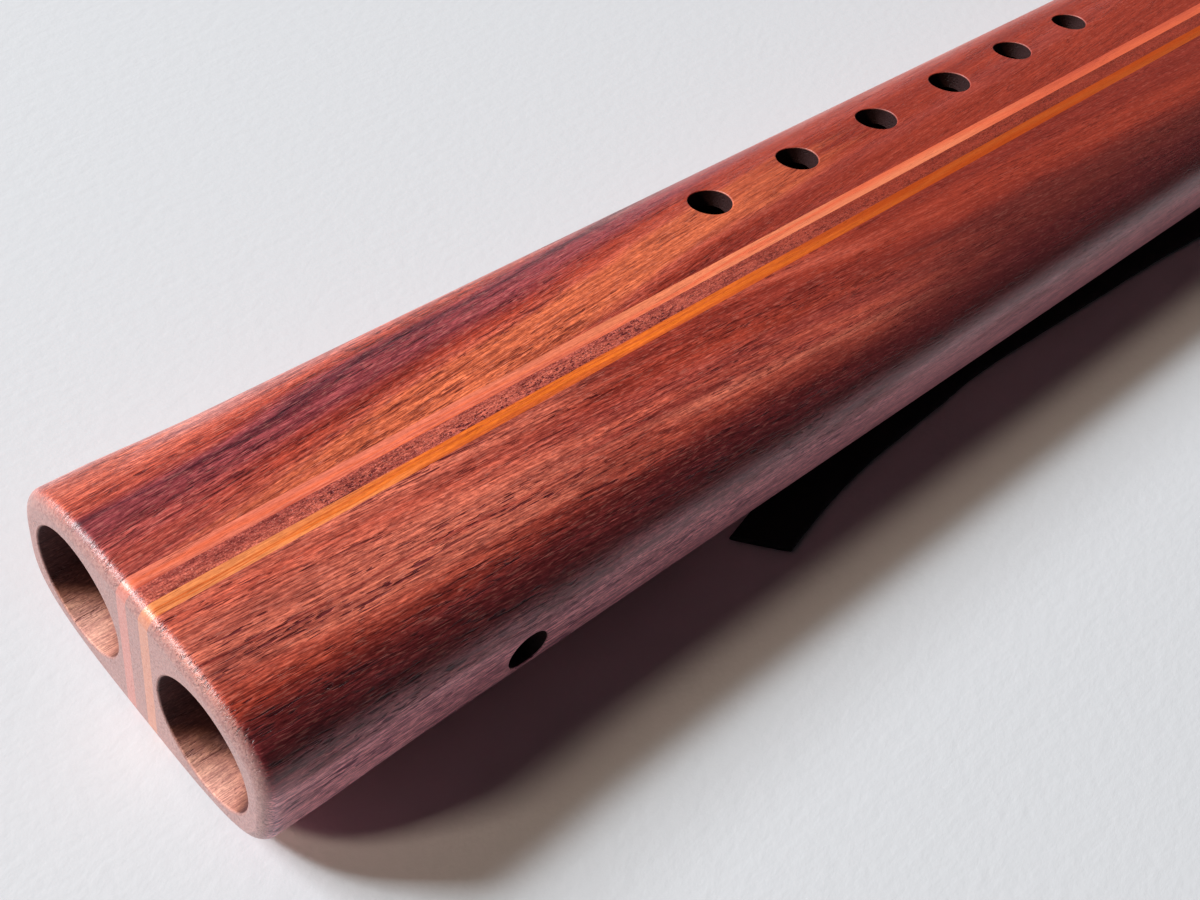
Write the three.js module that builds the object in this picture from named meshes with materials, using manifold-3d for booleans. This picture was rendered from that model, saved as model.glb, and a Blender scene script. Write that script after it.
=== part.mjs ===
// Double-bore drone flute in the Native American style: a laminated body of two glued halves,
// a bird tied over two flues, and a black leather tie with one long free tail.
// Millimetres. +X runs from the foot to the mouth, +Y to the melody side, +Z up.
// The origin lies under the middle of the flute, on the surface that it rests on.

import * as THREE from 'three';
import { mergeVertices } from 'three/addons/utils/BufferGeometryUtils.js';
import Module from 'manifold-3d';

const wasm = await Module();
wasm.setup();

// Body section
const bodyWidth = 63.5;
const bodyHeight = 31.75;
const sectionExponent = 3;
const sectionSides = 56;
const footRounding = 3.2;

// Laminations, from the middle of the body outwards
const coreStripWidth = 3.2;
const sideStripWidth = 2.4;

// Bores and lengths, from the foot to the mouth
const boreDiameter = 22.2;
const boreSpacing = 32.8;
const soundChamberLength = 381;
const windowLength = 7;
const flueLength = 16;
const slowChamberLength = 116;
const breathHoleLength = 45;

// Sound windows, flues and the slots that feed them
const flueWidth = 8.5;
const flueDepth = 0.9;
const feedSlotLength = 8;
const splittingEdgeDrop = 0.5;
const rampFloorLength = 1.9;

// Nest: the flat that the bird sits on
const nestWall = 1.7;
const nestRearSlopeLength = 6;
const nestClearance = 1;

// Holes
const fingerHoleDiameter = 8.6;
const fingerHoleSizeShares = [1, 0.99, 1.01, 1.04, 0.98, 0.9];
const fingerHolePlaceShares = [0.355, 0.422, 0.4885, 0.5556, 0.618, 0.6787];
const fingerHoleOffset = 1.1;
const tuningHoleDiameter = 7.9;
const tuningHoleDistance = 48.5;
const tuningHoleDrop = 1.2;
const breathHoleDiameter = 6.4;
const breathHoleSpacing = 24;

// Mouthpiece
const mouthpieceLength = 62;
const mouthWidth = 47;
const mouthHeight = 19;
const mouthRounding = 3;

// Bird
const birdWidth = 49;
const birdTravel = 2.5;
const birdNoseLength = 17;
const birdTailLength = 16.5;
const birdNoseHeight = 15;
const birdTailHeight = 12.5;
const saddleHeight = 9.5;
const saddleMargin = 1;
const birdEndHeightShare = 0.42;
const birdEndWidthShare = 0.86;
const chimneyMargin = 1;

// Leather tie
const strapWidth = 10.5;
const strapThickness = 1.3;
const strapGap = 0.6;
const layerGap = 0.5;
const seatClearance = 0.25;
const crossingOvershoot = 2.5;
const knotStrandDiameter = 3.5;
const knotSpread = 2.3;
const knotLobeShare = 2.4;
const knotHalfDepth = 2.8;
const tailExitDistance = 11;
const tailExitDrop = 1.5;
const tailLeadLength = 8;
const tailSpreadLength = 26;
const tailTwistLength = 46;
const tailEndSlant = 2.6;

// Corners of the strap's section, as shares of its half width and half thickness
const tailCornerShares = [
  [-0.94, -1], [0.94, -1], [1, -0.5], [1, 0.5], [0.94, 1], [-0.94, 1], [-1, 0.5], [-1, -0.5],
];

// Smoothness of round forms, in flat sides
const boreSides = 40;
const holeSides = 24;
const knotSides = 8;

// How far a cutter runs past the face that it opens
const overrun = 2;

// Places worked out from the sizes
const overallLength = soundChamberLength + windowLength + flueLength + slowChamberLength + breathHoleLength;
const footX = -overallLength / 2;
const edgeX = footX + soundChamberLength;
const plugX = edgeX + windowLength;
const slowChamberX = plugX + flueLength;
const slowChamberEndX = slowChamberX + slowChamberLength;
const mouthX = slowChamberEndX + breathHoleLength;
const sectionPower = 2 / sectionExponent;
const sectionFlatShare = Math.cos(Math.PI / sectionSides) ** sectionPower;
const centreZ = strapThickness + seatClearance + sectionFlatShare * bodyHeight / 2;
const boreRadius = boreDiameter / 2;
const melodyY = boreSpacing / 2;
const droneY = -boreSpacing / 2;
const nestZ = centreZ + boreRadius + nestWall;
const topZ = centreZ + bodyHeight / 2 + overrun;
const nestFrontX = edgeX - rampFloorLength;
const birdFrontX = nestFrontX + nestClearance + birdTravel;
const strapPitch = strapWidth + strapGap;

// The tie passes under the body three times. It winds steadily towards the mouth and, on its last pass
// over the bird, climbs onto the turns below it and crosses back to the knot.
const tieTurns = 3;
const climbStartTurn = 2.47;
const climbEndTurn = 2.56;
const crossingEndTurn = 2.89;
const descentEndTurn = 2.96;
const tieStartTurn = 0.03;
const tieReach = crossingOvershoot + climbEndTurn * strapPitch + strapWidth;
const saddleLength = tieReach + 2 * saddleMargin;
const birdLength = birdNoseLength + saddleLength + birdTailLength;
const tieStartX = birdFrontX + birdNoseLength + saddleMargin + crossingOvershoot + strapWidth / 2;

const walnut = new THREE.MeshStandardMaterial({ color: 0x7d3f2c, roughness: 0.42, metalness: 0 });
const darkWood = new THREE.MeshStandardMaterial({ color: 0x6d3a2b, roughness: 0.45, metalness: 0 });
const coralWood = new THREE.MeshStandardMaterial({ color: 0xf0714f, roughness: 0.4, metalness: 0 });
const orangeWood = new THREE.MeshStandardMaterial({ color: 0xe27a22, roughness: 0.4, metalness: 0 });
const blackLeather = new THREE.MeshStandardMaterial({ color: 0x17161a, roughness: 0.8, metalness: 0 });

function toSolid(geometry) {
  const bare = geometry.index ? geometry.toNonIndexed() : geometry.clone();
  bare.deleteAttribute('normal');
  bare.deleteAttribute('uv');
  const merged = mergeVertices(bare);
  const vertProperties = new Float32Array(merged.attributes.position.array);
  const triVerts = new Uint32Array(merged.index.array);
  return new wasm.Manifold(new wasm.Mesh({ numProp: 3, vertProperties, triVerts }));
}

function toGeometry(solid) {
  const mesh = solid.getMesh();
  const geometry = new THREE.BufferGeometry();
  geometry.setAttribute('position', new THREE.BufferAttribute(new Float32Array(mesh.vertProperties), 3));
  geometry.setIndex(new THREE.BufferAttribute(new Uint32Array(mesh.triVerts), 1));
  return geometry;
}

// A closed skin through rings of equal count, with each end closed by a fan about its middle
function loft(rings) {
  const count = rings[0].length;
  const points = rings.flat();
  const triangles = [];
  for (let ring = 0; ring + 1 < rings.length; ring += 1) {
    for (let side = 0; side < count; side += 1) {
      const a = ring * count + side;
      const b = ring * count + (side + 1) % count;
      triangles.push(a, b, b + count, a, b + count, a + count);
    }
  }
  const firstMiddle = points.length;
  const lastMiddle = firstMiddle + 1;
  const lastStart = (rings.length - 1) * count;
  for (const ring of [rings[0], rings[rings.length - 1]]) {
    const middle = ring.reduce((sum, point) => sum.add(point), new THREE.Vector3());
    points.push(middle.divideScalar(count));
  }
  for (let side = 0; side < count; side += 1) {
    const next = (side + 1) % count;
    triangles.push(firstMiddle, next, side, lastMiddle, lastStart + side, lastStart + next);
  }
  const geometry = new THREE.BufferGeometry().setFromPoints(points);
  geometry.setIndex(triangles);
  return geometry;
}

function block(low, high) {
  const size = new THREE.Vector3().subVectors(high, low);
  const middle = new THREE.Vector3().addVectors(low, high).multiplyScalar(0.5);
  return toSolid(new THREE.BoxGeometry(size.x, size.y, size.z).translate(middle.x, middle.y, middle.z));
}

// A round cutter from one point to another
function rod(start, end, diameter, sides) {
  const axis = new THREE.Vector3().subVectors(end, start);
  const geometry = new THREE.CylinderGeometry(diameter / 2, diameter / 2, axis.length(), sides);
  const turn = new THREE.Quaternion();
  turn.setFromUnitVectors(new THREE.Vector3(0, 1, 0), axis.clone().normalize());
  const middle = new THREE.Vector3().addVectors(start, end).multiplyScalar(0.5);
  return toSolid(geometry.applyQuaternion(turn).translate(middle.x, middle.y, middle.z));
}

// An outline in X and Z carried across the body from one Y to another
function prism(outline, lowY, highY) {
  const shape = new THREE.Shape(outline.map(([x, z]) => new THREE.Vector2(x, z)));
  const geometry = new THREE.ExtrudeGeometry(shape, { depth: highY - lowY, bevelEnabled: false });
  return toSolid(geometry.rotateX(Math.PI / 2).translate(0, highY, 0));
}

function at(x, y, z) {
  return new THREE.Vector3(x, y, z);
}

// Rounded section of the body, with a narrow flat on top, underneath and on each flank
function bodySection(width, height) {
  return Array.from({ length: sectionSides }, (_, side) => {
    const angle = 2 * Math.PI * (side + 0.5) / sectionSides;
    const y = Math.sign(Math.cos(angle)) * Math.abs(Math.cos(angle)) ** sectionPower * width / 2;
    const z = Math.sign(Math.sin(angle)) * Math.abs(Math.sin(angle)) ** sectionPower * height / 2;
    return [y, centreZ + z];
  });
}

// Outer form: rounded foot edge, straight body, and a mouthpiece that narrows to a rounded end
function bodyBlank() {
  const rings = [];
  const addRing = (x, width, height) => {
    rings.push(bodySection(width, height).map(([y, z]) => at(x, y, z)));
  };
  const roundingSteps = 5;
  for (let step = 0; step <= roundingSteps; step += 1) {
    const angle = Math.PI / 2 * step / roundingSteps;
    const inset = 2 * footRounding * (1 - Math.sin(angle));
    addRing(footX + footRounding * (1 - Math.cos(angle)), bodyWidth - inset, bodyHeight - inset);
  }
  const taperSteps = 9;
  const taperLength = mouthpieceLength - mouthRounding;
  for (let step = 0; step < taperSteps; step += 1) {
    const share = step / taperSteps;
    const ease = (1 - Math.cos(Math.PI * share)) / 2;
    const width = THREE.MathUtils.lerp(bodyWidth, mouthWidth, ease);
    const height = THREE.MathUtils.lerp(bodyHeight, mouthHeight, ease);
    addRing(mouthX - mouthpieceLength + taperLength * share, width, height);
  }
  for (let step = 0; step <= roundingSteps; step += 1) {
    const angle = Math.PI / 2 * step / roundingSteps;
    const inset = 2 * mouthRounding * (1 - Math.cos(angle));
    addRing(mouthX - mouthRounding * (1 - Math.sin(angle)), mouthWidth - inset, mouthHeight - inset);
  }
  return toSolid(loft(rings));
}

// What is cut for one voice: bore, plug, slow air chamber, breath hole, window, ramp, flue and feed slot
function voiceCuts(boreY) {
  const breathY = Math.sign(boreY) * breathHoleSpacing / 2;
  const lowY = boreY - flueWidth / 2;
  const highY = boreY + flueWidth / 2;
  const cutFloorZ = centreZ + boreRadius / 2;
  const edgeZ = nestZ - splittingEdgeDrop;
  const rampTopX = edgeX - rampFloorLength * (topZ - edgeZ) / splittingEdgeDrop;
  const cuts = [
    rod(at(footX - overrun, boreY, centreZ), at(plugX, boreY, centreZ), boreDiameter, boreSides),
    rod(at(slowChamberX, boreY, centreZ), at(slowChamberEndX, boreY, centreZ), boreDiameter, boreSides),
    rod(at(slowChamberEndX - overrun, breathY, centreZ), at(mouthX + overrun, breathY, centreZ),
      breathHoleDiameter, holeSides),
    block(at(edgeX, lowY, cutFloorZ), at(plugX, highY, topZ)),
    block(at(slowChamberX, lowY, cutFloorZ), at(slowChamberX + feedSlotLength, highY, topZ)),
    block(at(plugX - overrun, lowY, nestZ - flueDepth), at(slowChamberX + overrun, highY, topZ)),
    prism([[edgeX, edgeZ], [edgeX, topZ], [rampTopX, topZ]], lowY, highY),
  ];
  return wasm.Manifold.union(cuts);
}

function nestCut() {
  const rearX = birdFrontX + birdLength + birdTravel + nestClearance;
  const outline = [
    [nestFrontX, nestZ], [rearX, nestZ], [rearX + nestRearSlopeLength, topZ], [nestFrontX, topZ],
  ];
  return prism(outline, -bodyWidth / 2 - overrun, bodyWidth / 2 + overrun);
}

function holeCuts() {
  const holes = fingerHolePlaceShares.map((share, hole) => {
    const x = footX + soundChamberLength * share;
    const y = melodyY + fingerHoleOffset;
    const diameter = fingerHoleDiameter * fingerHoleSizeShares[hole];
    return rod(at(x, y, centreZ + boreRadius / 2), at(x, y, topZ), diameter, holeSides);
  });
  const tuningX = footX + tuningHoleDistance;
  const tuningZ = centreZ - tuningHoleDrop;
  const flankY = -bodyWidth / 2 - overrun;
  holes.push(rod(at(tuningX, droneY - boreRadius / 2, tuningZ), at(tuningX, flankY, tuningZ),
    tuningHoleDiameter, holeSides));
  return wasm.Manifold.union(holes);
}

// The finished body, sliced where its laminations and its two halves are glued
function bodyPieces() {
  const cuts = wasm.Manifold.union([voiceCuts(melodyY), voiceCuts(droneY), nestCut(), holeCuts()]);
  const body = bodyBlank().subtract(cuts);
  const coreEdge = coreStripWidth / 2;
  const stripEdge = coreEdge + sideStripWidth;
  const outerEdge = bodyWidth / 2 + overrun;
  const laminations = [
    ['melody_plank', stripEdge, outerEdge, walnut],
    ['coral_strip', coreEdge, stripEdge, coralWood],
    ['core_strip', -coreEdge, coreEdge, darkWood],
    ['orange_strip', -stripEdge, -coreEdge, orangeWood],
    ['drone_plank', -outerEdge, -stripEdge, walnut],
  ];
  const halves = [['upper', centreZ, topZ], ['lower', centreZ - bodyHeight / 2 - overrun, centreZ]];
  const pieces = [];
  for (const [name, lowY, highY, material] of laminations) {
    for (const [half, lowZ, highZ] of halves) {
      const slice = block(at(footX - overrun, lowY, lowZ), at(mouthX + overrun, highY, highZ));
      pieces.push([`${name}_${half}`, toGeometry(body.intersect(slice)), material]);
    }
  }
  return pieces;
}

// Section of the bird: flat underneath, arched above
function birdSection(width, height) {
  const archSteps = 16;
  return Array.from({ length: archSteps + 1 }, (_, step) => {
    const angle = Math.PI * step / archSteps;
    const y = Math.sign(Math.cos(angle)) * Math.abs(Math.cos(angle)) ** sectionPower * width / 2;
    return [y, nestZ + Math.abs(Math.sin(angle)) ** sectionPower * height];
  });
}

// Saddle-shaped bird with an open chimney in its nose over each sound window
function bird() {
  const saddleX = birdFrontX + birdNoseLength;
  const saddleEndX = saddleX + saddleLength;
  const rings = [];
  const addRing = (x, widthShare, height) => {
    rings.push(birdSection(birdWidth * widthShare, height).map(([y, z]) => at(x, y, z)));
  };
  const noseShares = [
    [0, 0.52, 0.95], [0.1, 0.74, 0.98], [0.25, 0.9, 1], [0.45, 0.99, 1], [0.6, 1, 1], [0.75, 0.96, 1],
  ];
  for (const [along, heightShare, widthShare] of noseShares) {
    addRing(birdFrontX + birdNoseLength * along, widthShare, birdNoseHeight * heightShare);
  }
  addRing(saddleX - saddleMargin, 1, THREE.MathUtils.lerp(saddleHeight, birdNoseHeight, 1 / 4));
  addRing(saddleX, 1, saddleHeight);
  addRing(saddleEndX, 1, saddleHeight);
  addRing(saddleEndX + saddleMargin, 1, THREE.MathUtils.lerp(saddleHeight, birdTailHeight, 1 / 2));
  const tailShares = [[0.2, 0.97, 1], [0.35, 1, 1], [0.55, 0.95, 0.99], [0.75, 0.8, 0.96], [0.9, 0.6, 0.91]];
  for (const [along, heightShare, widthShare] of tailShares) {
    addRing(saddleEndX + birdTailLength * along, widthShare, birdTailHeight * heightShare);
  }
  addRing(saddleEndX + birdTailLength, birdEndWidthShare, birdTailHeight * birdEndHeightShare);
  const chimneys = [melodyY, droneY].map((boreY) => {
    const halfWidth = flueWidth / 2 + chimneyMargin;
    const low = at(birdFrontX - overrun, boreY - halfWidth, nestZ - overrun);
    return block(low, at(plugX, boreY + halfWidth, nestZ + birdNoseHeight + overrun));
  });
  return toGeometry(toSolid(loft(rings)).subtract(wasm.Manifold.union(chimneys)));
}

// Convex outline round a set of points, anticlockwise
function convexOutline(points) {
  const sorted = [...points].sort((a, b) => a[0] - b[0] || a[1] - b[1]);
  const turnsLeft = (a, b, c) => (b[0] - a[0]) * (c[1] - a[1]) - (b[1] - a[1]) * (c[0] - a[0]) > 0;
  const walk = (list) => {
    const chain = [];
    for (const point of list) {
      while (chain.length > 1 && !turnsLeft(chain[chain.length - 2], chain[chain.length - 1], point)) {
        chain.pop();
      }
      chain.push(point);
    }
    return chain.slice(0, -1);
  };
  return [...walk(sorted), ...walk(sorted.reverse())];
}

// The outline pushed out, each corner along the mitre of its two sides
function mitres(outline) {
  return outline.map((point, index) => {
    const before = outline[(index + outline.length - 1) % outline.length];
    const after = outline[(index + 1) % outline.length];
    const first = new THREE.Vector2(point[1] - before[1], before[0] - point[0]).normalize();
    const second = new THREE.Vector2(after[1] - point[1], point[0] - after[0]).normalize();
    return first.clone().add(second).divideScalar(1 + first.dot(second));
  });
}

function smooth(value, start, end) {
  return THREE.MathUtils.smoothstep(value, start, end);
}

// Where the tie runs along the body after some turns, and how high above the first layer
function tiePlace(turn) {
  const back = smooth(turn, climbEndTurn, crossingEndTurn);
  const forthX = strapPitch * Math.min(turn, climbEndTurn);
  const x = tieStartX + THREE.MathUtils.lerp(forthX, -crossingOvershoot, back);
  const climb = smooth(turn, climbStartTurn, climbEndTurn) - smooth(turn, crossingEndTurn, descentEndTurn);
  return { x, lift: seatClearance + climb * (strapThickness + layerGap) };
}

// The flat strap wound round body and bird. Its turns start and end under the knot on the drone flank.
function tieRings() {
  const saddle = birdSection(birdWidth, saddleHeight);
  const outline = convexOutline([...bodySection(bodyWidth, bodyHeight), ...saddle]);
  const flank = outline.findIndex(([y, z]) => y < 0 && z < centreZ && z > centreZ - bodyHeight / 4);
  const corners = [...outline.slice(flank), ...outline.slice(0, flank)];
  const pushes = mitres(corners);
  const lengths = corners.map(([y, z], index) => {
    const [nextY, nextZ] = corners[(index + 1) % corners.length];
    return Math.hypot(nextY - y, nextZ - z);
  });
  const girth = lengths.reduce((sum, length) => sum + length, 0);
  const rings = [];
  for (let turn = 0; turn < tieTurns; turn += 1) {
    let walked = 0;
    corners.forEach(([y, z], index) => {
      const turned = turn + walked / girth;
      walked += lengths[index];
      if (turned < tieStartTurn || turned > tieTurns - tieStartTurn) {
        return;
      }
      const { x, lift } = tiePlace(turned);
      const pushed = (distance) => [y + pushes[index].x * distance, z + pushes[index].y * distance];
      const inner = pushed(lift);
      const outer = pushed(lift + strapThickness);
      const lowX = x - strapWidth / 2;
      const highX = x + strapWidth / 2;
      rings.push([at(lowX, ...inner), at(highX, ...inner), at(highX, ...outer), at(lowX, ...outer)]);
    });
  }
  return rings;
}

// Middle of the knot, which hangs beside the first turn and the crossing one
function knotMiddle() {
  const flankY = -bodyWidth / 2 - seatClearance - strapThickness;
  const depth = knotHalfDepth + knotStrandDiameter / 2;
  return at(tieStartX - crossingOvershoot, flankY - depth - seatClearance, centreZ);
}

// Overhand knot in the bunched strap, lying flat against the turns on the drone flank. Its first point
// is where the free tail comes out.
function knotPath() {
  const middle = knotMiddle();
  const samples = 40;
  const openingShare = 0.05;
  const strand = Array.from({ length: samples + 1 }, (_, sample) => {
    const share = openingShare + (1 - 2 * openingShare) * sample / samples;
    const angle = 2 * Math.PI * share + Math.PI;
    const x = Math.cos(angle) - knotLobeShare * Math.cos(2 * angle);
    const z = Math.sin(angle) + knotLobeShare * Math.sin(2 * angle);
    const y = Math.sin(3 * angle);
    return at(middle.x + knotSpread * x, middle.y + knotHalfDepth * y, middle.z + knotSpread * z);
  });
  const exit = at(middle.x - tailExitDistance, strand[0].y, middle.z - tailExitDrop);
  return new THREE.CatmullRomCurve3([exit, ...strand], false, 'centripetal');
}

function knot() {
  const outline = Array.from({ length: knotSides }, (_, side) => {
    const angle = 2 * Math.PI * side / knotSides;
    return new THREE.Vector2(Math.cos(angle), Math.sin(angle)).multiplyScalar(knotStrandDiameter / 2);
  });
  const steps = 72;
  return new THREE.ExtrudeGeometry(new THREE.Shape(outline), { steps, extrudePath: knotPath() });
}

// Route of the free tail, chosen by hand past its first two points: down from the knot, then along
// the table beside the body to its bare cut end
function tailPath() {
  const exit = knotPath().getPoint(0);
  const heading = knotPath().getTangent(0).negate();
  const start = exit.clone().addScaledVector(heading, seatClearance);
  const lead = start.clone().addScaledVector(heading, tailLeadLength);
  const route = [
    [98, -39.7, 6.1], [86, -38.4, 3], [72, -36.6, 1.3], [56, -34.6, 0.75],
    [38, -32.2, 0.7], [20, -30.3, 0.7], [0, -28.8, 0.7], [-20, -27.6, 0.7], [-36, -26.6, 0.7],
    [-53, -26, 0.7], [-75, -25.3, 0.7], [-104, -24.6, 0.7], [-118, -25.5, 0.7], [-132, -26.3, 0.7],
    [-146, -27.3, 0.7], [-161, -29.7, 0.7], [-169, -31.5, 0.7], [-176, -33.2, 0.7],
  ];
  const points = [start, lead, ...route.map(([x, y, z]) => at(x, y, z))];
  return new THREE.CatmullRomCurve3(points, false, 'centripetal');
}

// The tail leaves the knot bunched and on edge, then spreads flat and turns over onto the table
function tail() {
  const path = tailPath();
  const length = path.getLength();
  const steps = 60;
  const rings = [];
  for (let step = 0; step <= steps; step += 1) {
    const share = step / steps;
    const middle = path.getPointAt(share);
    const along = path.getTangentAt(share);
    const spread = smooth(share * length, 0, tailSpreadLength);
    const turned = Math.PI / 2 * smooth(share * length, 0, tailTwistLength);
    const side = new THREE.Vector3().crossVectors(along, at(0, 0, 1)).normalize();
    const up = new THREE.Vector3().crossVectors(side, along);
    const across = up.clone().multiplyScalar(Math.cos(turned)).addScaledVector(side, Math.sin(turned));
    const facing = new THREE.Vector3().crossVectors(along, across);
    const halfWidth = THREE.MathUtils.lerp(knotStrandDiameter, strapWidth, spread) / 2;
    const halfDepth = THREE.MathUtils.lerp(knotStrandDiameter, strapThickness, spread) / 2;
    const slant = tailEndSlant * smooth(share, 1 - 1 / steps, 1);
    rings.push(tailCornerShares.map(([acrossShare, depthShare]) => middle.clone()
      .addScaledVector(across, halfWidth * acrossShare)
      .addScaledVector(facing, halfDepth * depthShare)
      .addScaledVector(along, slant * acrossShare)));
  }
  return loft(rings);
}

// Least distance between stretches of the winding at least half a turn apart, on points of both its faces
function leastTieGap(rings) {
  const acrossShares = [0, 0.25, 0.5, 0.75, 1];
  const half = Math.round(rings.length / tieTurns / 2);
  const points = rings.map(([lowInner, highInner, highOuter, lowOuter]) => acrossShares.flatMap((share) => [
    lowInner.clone().lerp(highInner, share), lowOuter.clone().lerp(highOuter, share),
  ]));
  let least = Infinity;
  for (let first = 0; first < points.length; first += 1) {
    for (let second = first + half; second < points.length; second += 1) {
      for (const a of points[first]) {
        for (const b of points[second]) {
          least = Math.min(least, a.distanceTo(b));
        }
      }
    }
  }
  return least;
}

// Least distance between strands of the knot that are not neighbours, less the strand's own thickness
function leastKnotGap() {
  const samples = 300;
  const points = knotPath().getSpacedPoints(samples);
  const spacing = knotPath().getLength() / samples;
  const apart = Math.ceil(2 * knotStrandDiameter / spacing);
  let least = Infinity;
  for (let first = 0; first < points.length; first += 1) {
    for (let second = first + apart; second < points.length; second += 1) {
      least = Math.min(least, points[first].distanceTo(points[second]));
    }
  }
  return least - knotStrandDiameter;
}

const flute = new THREE.Group();
function addPiece(name, geometry, material) {
  const piece = new THREE.Mesh(geometry, material);
  piece.name = name;
  flute.add(piece);
}

for (const [name, geometry, material] of bodyPieces()) {
  addPiece(name, geometry, material);
}
addPiece('bird_block', bird(), walnut);
const winding = tieRings();
addPiece('tie_wrap', loft(winding), blackLeather);
addPiece('tie_knot', knot(), blackLeather);
addPiece('tie_tail', tail(), blackLeather);

console.log(`least gap in the winding ${leastTieGap(winding).toFixed(2)} mm`);
console.log(`least gap in the knot ${leastKnotGap().toFixed(2)} mm`);
console.log(`tail length ${tailPath().getLength().toFixed(1)} mm`);

export default flute;
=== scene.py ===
"""Double-bore drone flute: its looks in Blender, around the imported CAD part.

Metres, in the part's own frame: +X runs from the foot to the mouth, +Y to the melody side, +Z up.
"""

import math
from types import SimpleNamespace

import bpy
import numpy as np
from bpy.props import FloatProperty, FloatVectorProperty, PointerProperty
from mathutils import Matrix, Vector


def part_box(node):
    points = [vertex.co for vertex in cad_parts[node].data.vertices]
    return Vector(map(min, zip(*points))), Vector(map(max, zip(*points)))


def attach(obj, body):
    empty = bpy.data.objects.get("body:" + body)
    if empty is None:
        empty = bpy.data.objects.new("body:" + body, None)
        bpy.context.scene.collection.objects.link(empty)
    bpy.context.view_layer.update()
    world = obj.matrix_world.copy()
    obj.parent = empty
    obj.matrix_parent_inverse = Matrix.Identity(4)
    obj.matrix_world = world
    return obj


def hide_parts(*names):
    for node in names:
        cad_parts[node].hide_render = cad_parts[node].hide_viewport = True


bl_info = {
    "name": "Double-Bore Drone Flute",
    "version": (1, 0, 0),
    "blender": (4, 5, 0),
    "location": "View3D > Sidebar > Flute",
    "description": "A drone flute of laminated wood, with a bird and a leather tie",
    "category": "Add Mesh",
}

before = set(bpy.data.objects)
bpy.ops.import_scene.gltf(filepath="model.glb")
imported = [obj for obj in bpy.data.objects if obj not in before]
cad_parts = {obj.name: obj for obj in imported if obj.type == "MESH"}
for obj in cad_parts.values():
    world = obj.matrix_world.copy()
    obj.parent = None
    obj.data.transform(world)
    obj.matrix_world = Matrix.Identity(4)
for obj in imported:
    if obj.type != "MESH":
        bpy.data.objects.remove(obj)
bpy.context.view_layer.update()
MM = 0.001

# Lengths along both voices, from the foot
SOUND_CHAMBER = 381 * MM
WINDOW = 7 * MM
FLUE = 16 * MM
SLOW_CHAMBER = 116 * MM

# Places of the finger holes along the sound chamber, and their sizes, as shares
HOLE_PLACE_SHARES = (0.355, 0.422, 0.4885, 0.5556, 0.618, 0.6787)
HOLE_SIZE_SHARES = (1, 0.99, 1.01, 1.04, 0.98, 0.9)

# The bird's rings: share of the way along, of the height, and of the width
NOSE_SHARES = (
    (0, 0.52, 0.95), (0.1, 0.74, 0.98), (0.25, 0.9, 1), (0.45, 0.99, 1), (0.6, 1, 1), (0.75, 0.96, 1),
)
TAIL_SHARES = (
    (0.2, 0.97, 1), (0.35, 1, 1), (0.55, 0.95, 0.99), (0.75, 0.8, 0.96), (0.9, 0.6, 0.91), (1, 0.42, 0.86),
)

# Turns of the tie at which it climbs onto the turns below, crosses back, and comes down
CLIMB_TURNS = (2.47, 2.56)
DESCENT_TURNS = (2.89, 2.96)
TIE_TURNS = 3
TIE_HIDDEN_TURN = 0.03

# Route of the free tail after its first two points, as in the CAD part, in millimetres
TAIL_ROUTE = (
    (98, -39.7, 6.1), (86, -38.4, 3), (72, -36.6, 1.3), (56, -34.6, 0.75), (38, -32.2, 0.7),
    (20, -30.3, 0.7), (0, -28.8, 0.7), (-20, -27.6, 0.7), (-36, -26.6, 0.7), (-53, -26, 0.7),
    (-75, -25.3, 0.7), (-104, -24.6, 0.7), (-118, -25.5, 0.7), (-132, -26.3, 0.7),
    (-146, -27.3, 0.7), (-161, -29.7, 0.7), (-169, -31.5, 0.7), (-176, -33.2, 0.7),
)

# Where the wood's bands are measured from, the height of the glued seam, and where the first part of a figure
# begins: ahead of the foot, so that it covers the whole length
FOOT_TOP = (-0.2825, 0, 0.0333)
SEAM_HEIGHT = 0.017408
WHOLE = (-300, -299)

# Settings of the node that mixes colours: plain, the second as a factor, and the second added
COLOURS_MIXED = {"data_type": "RGBA"}
COLOURS_TIMES = {"data_type": "RGBA", "blend_type": "MULTIPLY"}
COLOURS_PLUS = {"data_type": "RGBA", "blend_type": "ADD"}


def linear(code):
    """Linear red, green and blue of an sRGB hex colour: a value up to 0.04045 is divided by 12.92, and a
    larger one has 0.055 added, is divided by 1.055 and raised to 2.4."""
    value = np.array([int(code[i : i + 2], 16) for i in (1, 3, 5)]) / 255
    return tuple(np.where(value <= 0.04045, value / 12.92, ((value + 0.055) / 1.055) ** 2.4).tolist())


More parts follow.
